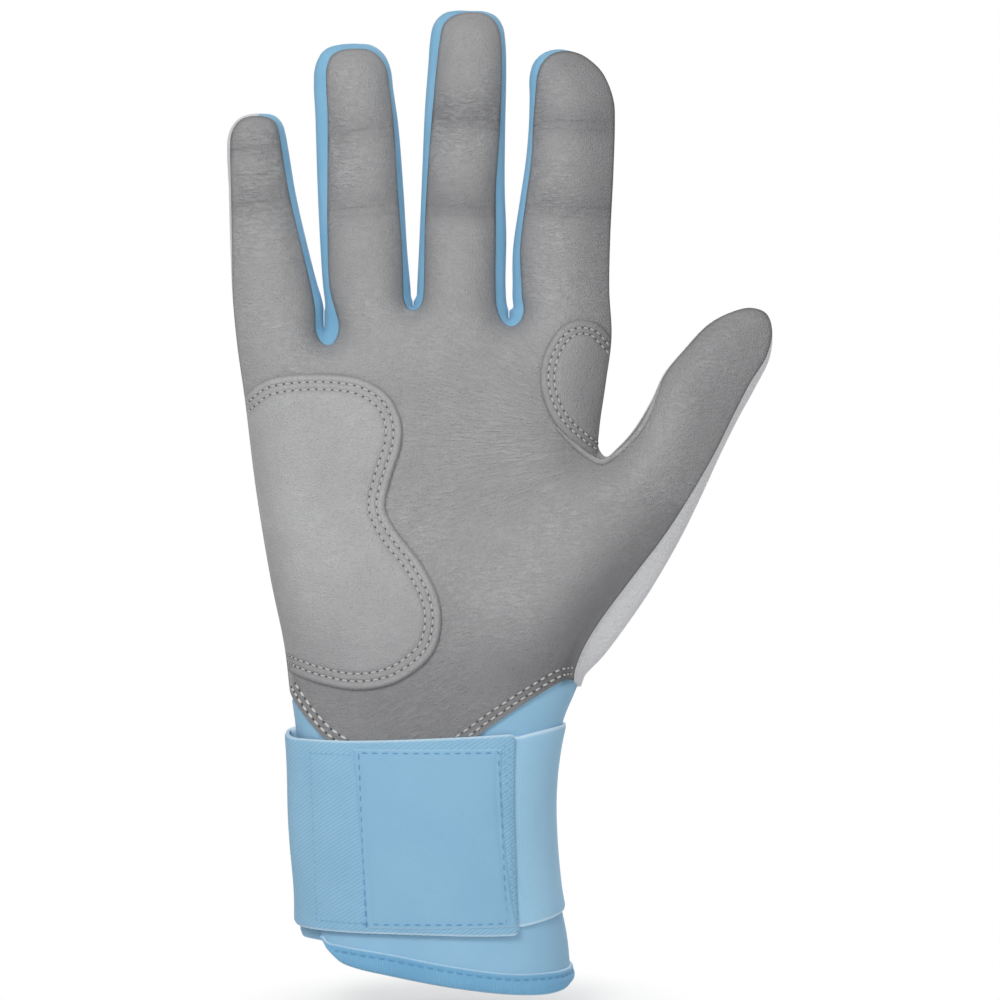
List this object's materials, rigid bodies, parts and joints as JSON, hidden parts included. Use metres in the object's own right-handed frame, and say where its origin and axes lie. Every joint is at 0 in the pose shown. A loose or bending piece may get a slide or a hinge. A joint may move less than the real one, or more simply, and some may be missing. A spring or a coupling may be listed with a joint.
{
  "type": "batting glove",
  "caption": "Right-hand batting glove with a leather palm, a padded heel overlay, stretch gussets, a long wrapped cuff and a hook-and-loop wrist strap.",
  "frame": {"origin": "middle of the cuff's mouth, level with the lowest point of the hem", "axes": "+Z from the cuff to the fingertips, -Y is the palm side, +X is the thumb side"},
  "size_m": [0.1485, 0.054, 0.2653],
  "materials": {
    "palm_leather": "soft grained sheepskin, satin",
    "overlay_leather": "grained overlay leather, satin",
    "back_leather": "pale synthetic leather, matte",
    "gusset_cloth": "stretch cloth, matte",
    "cuff_cloth": "padded stretch cloth, matte",
    "binding_cloth": "folded edge tape, matte",
    "strap_webbing": "woven webbing, matte",
    "patch_rubber": "smooth moulded patch, satin",
    "hook_and_loop": "hook and loop pile",
    "foam": "closed-cell foam sheet"
  },
  "bodies": {
    "hand": {"palm_leather": "palm_leather", "back_of_hand": "back_leather", "web_pinky_ring": "gusset_cloth", "web_ring_middle": "gusset_cloth", "web_middle_index": "gusset_cloth", "heel_pad": "overlay_leather", "heel_pad_foam": "foam", "index_patch": "overlay_leather", "cuff_wrap": "cuff_cloth", "cuff_underlap": "cuff_cloth", "hem_binding": "binding_cloth", "strap_band": "strap_webbing", "loop_pad": "hook_and_loop"},
    "index_base": {"index_base_palm": "palm_leather", "index_base_back": "back_leather", "index_base_gusset_ulnar": "gusset_cloth"},
    "index_mid": {"index_mid_palm": "palm_leather", "index_mid_back": "back_leather", "index_mid_gusset_ulnar": "gusset_cloth"},
    "index_tip": {"index_tip_palm": "palm_leather", "index_tip_back": "back_leather", "index_tip_gusset": "gusset_cloth"},
    "middle_base": {"middle_base_palm": "palm_leather", "middle_base_back": "back_leather", "middle_base_gusset_ulnar": "gusset_cloth", "middle_base_gusset_radial": "gusset_cloth"},
    "middle_mid": {"middle_mid_palm": "palm_leather", "middle_mid_back": "back_leather", "middle_mid_gusset_ulnar": "gusset_cloth", "middle_mid_gusset_radial": "gusset_cloth"},
    "middle_tip": {"middle_tip_palm": "palm_leather", "middle_tip_back": "back_leather", "middle_tip_gusset": "gusset_cloth"},
    "ring_base": {"ring_base_palm": "palm_leather", "ring_base_back": "back_leather", "ring_base_gusset_ulnar": "gusset_cloth", "ring_base_gusset_radial": "gusset_cloth"},
    "ring_mid": {"ring_mid_palm": "palm_leather", "ring_mid_back": "back_leather", "ring_mid_gusset_ulnar": "gusset_cloth", "ring_mid_gusset_radial": "gusset_cloth"},
    "ring_tip": {"ring_tip_palm": "palm_leather", "ring_tip_back": "back_leather", "ring_tip_gusset": "gusset_cloth"},
    "pinky_base": {"pinky_base_palm": "palm_leather", "pinky_base_back": "back_leather", "pinky_base_gusset_radial": "gusset_cloth"},
    "pinky_mid": {"pinky_mid_palm": "palm_leather", "pinky_mid_back": "back_leather", "pinky_mid_gusset_radial": "gusset_cloth"},
    "pinky_tip": {"pinky_tip_palm": "palm_leather", "pinky_tip_back": "back_leather", "pinky_tip_gusset": "gusset_cloth"},
    "thumb_base": {"thumb_base_palm": "palm_leather", "thumb_base_back": "back_leather"},
    "thumb_tip": {"thumb_tip_palm": "palm_leather", "thumb_tip_back": "back_leather"},
    "strap": {"strap_tab": "strap_webbing", "strap_patch": "patch_rubber", "hook_pad": "hook_and_loop"}
  },
  "joints": [
    {"name": "index_base_flex", "type": "hinge", "parent": "hand", "child": "index_base", "pos_m": [0.03613, -0.01053, 0.18889], "axis": [0.9987, 0, -0.0506], "range_deg": [0, 75]},
    {"name": "index_mid_flex", "type": "hinge", "parent": "index_base", "child": "index_mid", "pos_m": [0.03727, -0.0101, 0.21136], "axis": [0.9987, 0, -0.0506], "range_deg": [0, 90]},
    {"name": "index_tip_flex", "type": "hinge", "parent": "index_mid", "child": "index_tip", "pos_m": [0.03818, -0.00959, 0.22934], "axis": [0.9987, 0, -0.0506], "range_deg": [0, 60]},
    {"name": "middle_base_flex", "type": "hinge", "parent": "hand", "child": "middle_base", "pos_m": [0.00912, -0.01051, 0.1909], "axis": [0.9995, 0, -0.0332], "range_deg": [0, 75]},
    {"name": "middle_mid_flex", "type": "hinge", "parent": "middle_base", "child": "middle_mid", "pos_m": [0.00988, -0.01011, 0.21388], "axis": [0.9995, 0, -0.0332], "range_deg": [0, 90]},
    {"name": "middle_tip_flex", "type": "hinge", "parent": "middle_mid", "child": "middle_tip", "pos_m": [0.01069, -0.00954, 0.23837], "axis": [0.9995, 0, -0.0332], "range_deg": [0, 60]},
    {"name": "ring_base_flex", "type": "hinge", "parent": "hand", "child": "ring_base", "pos_m": [-0.01633, -0.0103, 0.19038], "axis": [0.9974, 0, 0.0715], "range_deg": [0, 75]},
    {"name": "ring_mid_flex", "type": "hinge", "parent": "ring_base", "child": "ring_mid", "pos_m": [-0.01783, -0.00989, 0.21133], "axis": [0.9974, 0, 0.0715], "range_deg": [0, 90]},
    {"name": "ring_tip_flex", "type": "hinge", "parent": "ring_mid", "child": "ring_tip", "pos_m": [-0.0194, -0.00929, 0.23328], "axis": [0.9974, 0, 0.0715], "range_deg": [0, 60]},
    {"name": "pinky_base_flex", "type": "hinge", "parent": "hand", "child": "pinky_base", "pos_m": [-0.041, -0.00976, 0.18647], "axis": [0.9938, 0, 0.1115], "range_deg": [0, 75]},
    {"name": "pinky_mid_flex", "type": "hinge", "parent": "pinky_base", "child": "pinky_mid", "pos_m": [-0.04373, -0.00886, 0.21082], "axis": [0.9938, 0, 0.1115], "range_deg": [0, 90]},
    {"name": "pinky_tip_flex", "type": "hinge", "parent": "pinky_mid", "child": "pinky_tip", "pos_m": [-0.04535, -0.008, 0.22523], "axis": [0.9938, 0, 0.1115], "range_deg": [0, 60]},
    {"name": "thumb_base_flex", "type": "hinge", "parent": "hand", "child": "thumb_base", "pos_m": [0.06139, -0.01202, 0.13904], "axis": [0.8518, 0, -0.5238], "range_deg": [0, 40]},
    {"name": "thumb_tip_flex", "type": "hinge", "parent": "thumb_base", "child": "thumb_tip", "pos_m": [0.07459, -0.01057, 0.1605], "axis": [0.8518, 0, -0.5238], "range_deg": [0, 60]},
    {"name": "strap_peel", "type": "hinge", "parent": "hand", "child": "strap", "pos_m": [-0.04, 0, 0.0425], "axis": [0, 0, -1], "range_deg": [0, 140]}
  ]
}
